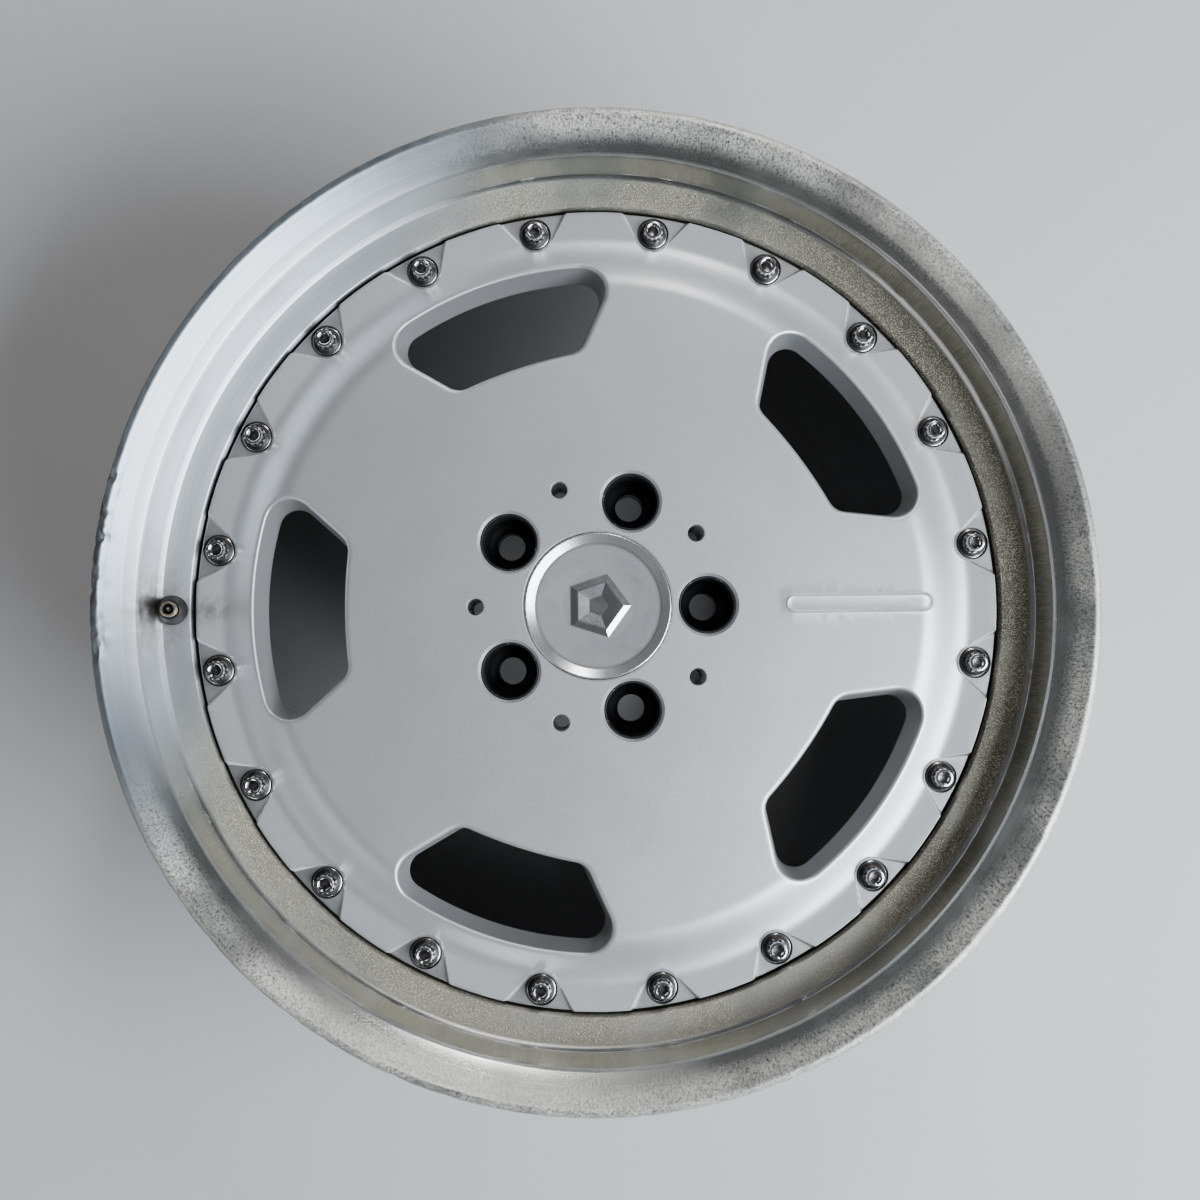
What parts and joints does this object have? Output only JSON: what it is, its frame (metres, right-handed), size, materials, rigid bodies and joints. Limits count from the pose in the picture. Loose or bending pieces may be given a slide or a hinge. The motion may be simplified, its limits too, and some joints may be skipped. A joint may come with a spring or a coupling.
{
  "type": "racing wheel rim",
  "caption": "Three-piece racing wheel rim with a flat five-window centre disc bolted between a polished stepped lip and an inner barrel.",
  "frame": {"origin": "on the wheel's axis, in the plane of the inboard flange's edge, on which the wheel rests face up", "axes": "+Z along the wheel's axis towards the outboard face; +X through a lug hole; the tyre valve is at -X"},
  "size_m": [0.498, 0.498, 0.2297],
  "materials": {
    "disc_paint": "satin silver wheel paint with faint dirt",
    "polished_lip": "turned and polished bare aluminium with fine ring marks",
    "barrel_metal": "satin clear-anodised aluminium",
    "sealant": "satin grey silicone",
    "cap_silver": "bright silver, metallised",
    "spring_steel": "bright drawn wire",
    "valve_rubber": "matt black",
    "valve_brass": "nickel-plated",
    "bolt_chrome": "bright chrome",
    "nut_zinc": "zinc-plated",
    "seat_black": "black, semi-gloss"
  },
  "bodies": {
    "wheel": {"assembly_bolt_01": "bolt_chrome", "assembly_bolt_02": "bolt_chrome", "assembly_bolt_03": "bolt_chrome", "assembly_bolt_04": "bolt_chrome", "assembly_bolt_05": "bolt_chrome", "assembly_bolt_06": "bolt_chrome", "assembly_bolt_07": "bolt_chrome", "assembly_bolt_08": "bolt_chrome", "assembly_bolt_09": "bolt_chrome", "assembly_bolt_10": "bolt_chrome", "assembly_bolt_11": "bolt_chrome", "assembly_bolt_12": "bolt_chrome", "assembly_bolt_13": "bolt_chrome", "assembly_bolt_14": "bolt_chrome", "assembly_bolt_15": "bolt_chrome", "assembly_bolt_16": "bolt_chrome", "assembly_bolt_17": "bolt_chrome", "assembly_bolt_18": "bolt_chrome", "assembly_bolt_19": "bolt_chrome", "assembly_bolt_20": "bolt_chrome", "assembly_nut_01": "nut_zinc", "assembly_nut_02": "nut_zinc", "assembly_nut_03": "nut_zinc", "assembly_nut_04": "nut_zinc", "assembly_nut_05": "nut_zinc", "assembly_nut_06": "nut_zinc", "assembly_nut_07": "nut_zinc", "assembly_nut_08": "nut_zinc", "assembly_nut_09": "nut_zinc", "assembly_nut_10": "nut_zinc", "assembly_nut_11": "nut_zinc", "assembly_nut_12": "nut_zinc", "assembly_nut_13": "nut_zinc", "assembly_nut_14": "nut_zinc", "assembly_nut_15": "nut_zinc", "assembly_nut_16": "nut_zinc", "assembly_nut_17": "nut_zinc", "assembly_nut_18": "nut_zinc", "assembly_nut_19": "nut_zinc", "assembly_nut_20": "nut_zinc", "centre_disc": "disc_paint", "inner_barrel": "barrel_metal", "lug_seat_1": "seat_black", "lug_seat_2": "seat_black", "lug_seat_3": "seat_black", "lug_seat_4": "seat_black", "lug_seat_5": "seat_black", "outer_lip": "polished_lip", "rim_sealant": "sealant", "valve_body": "valve_rubber", "valve_core": "valve_brass", "valve_spring": "spring_steel", "valve_stem": "valve_brass"},
    "centre_cap": {"centre_cap": "cap_silver", "cap_emblem": "cap_silver", "cap_spring_ring": "spring_steel"},
    "valve_pin": {"valve_pin": "spring_steel", "valve_seal": "valve_rubber"}
  },
  "joints": [
    {"name": "centre_cap_pull", "type": "slide", "parent": "wheel", "child": "centre_cap", "axis": [0, 0, 1], "range_m": [0, 0.06]},
    {"name": "valve_pin_press", "type": "slide", "parent": "wheel", "child": "valve_pin", "axis": [-0.1808, 0, -0.9835], "range_m": [0, 0.0016], "stiffness_N_per_m": 800, "springref_m": -0.003, "deforming": ["valve_spring"]}
  ]
}
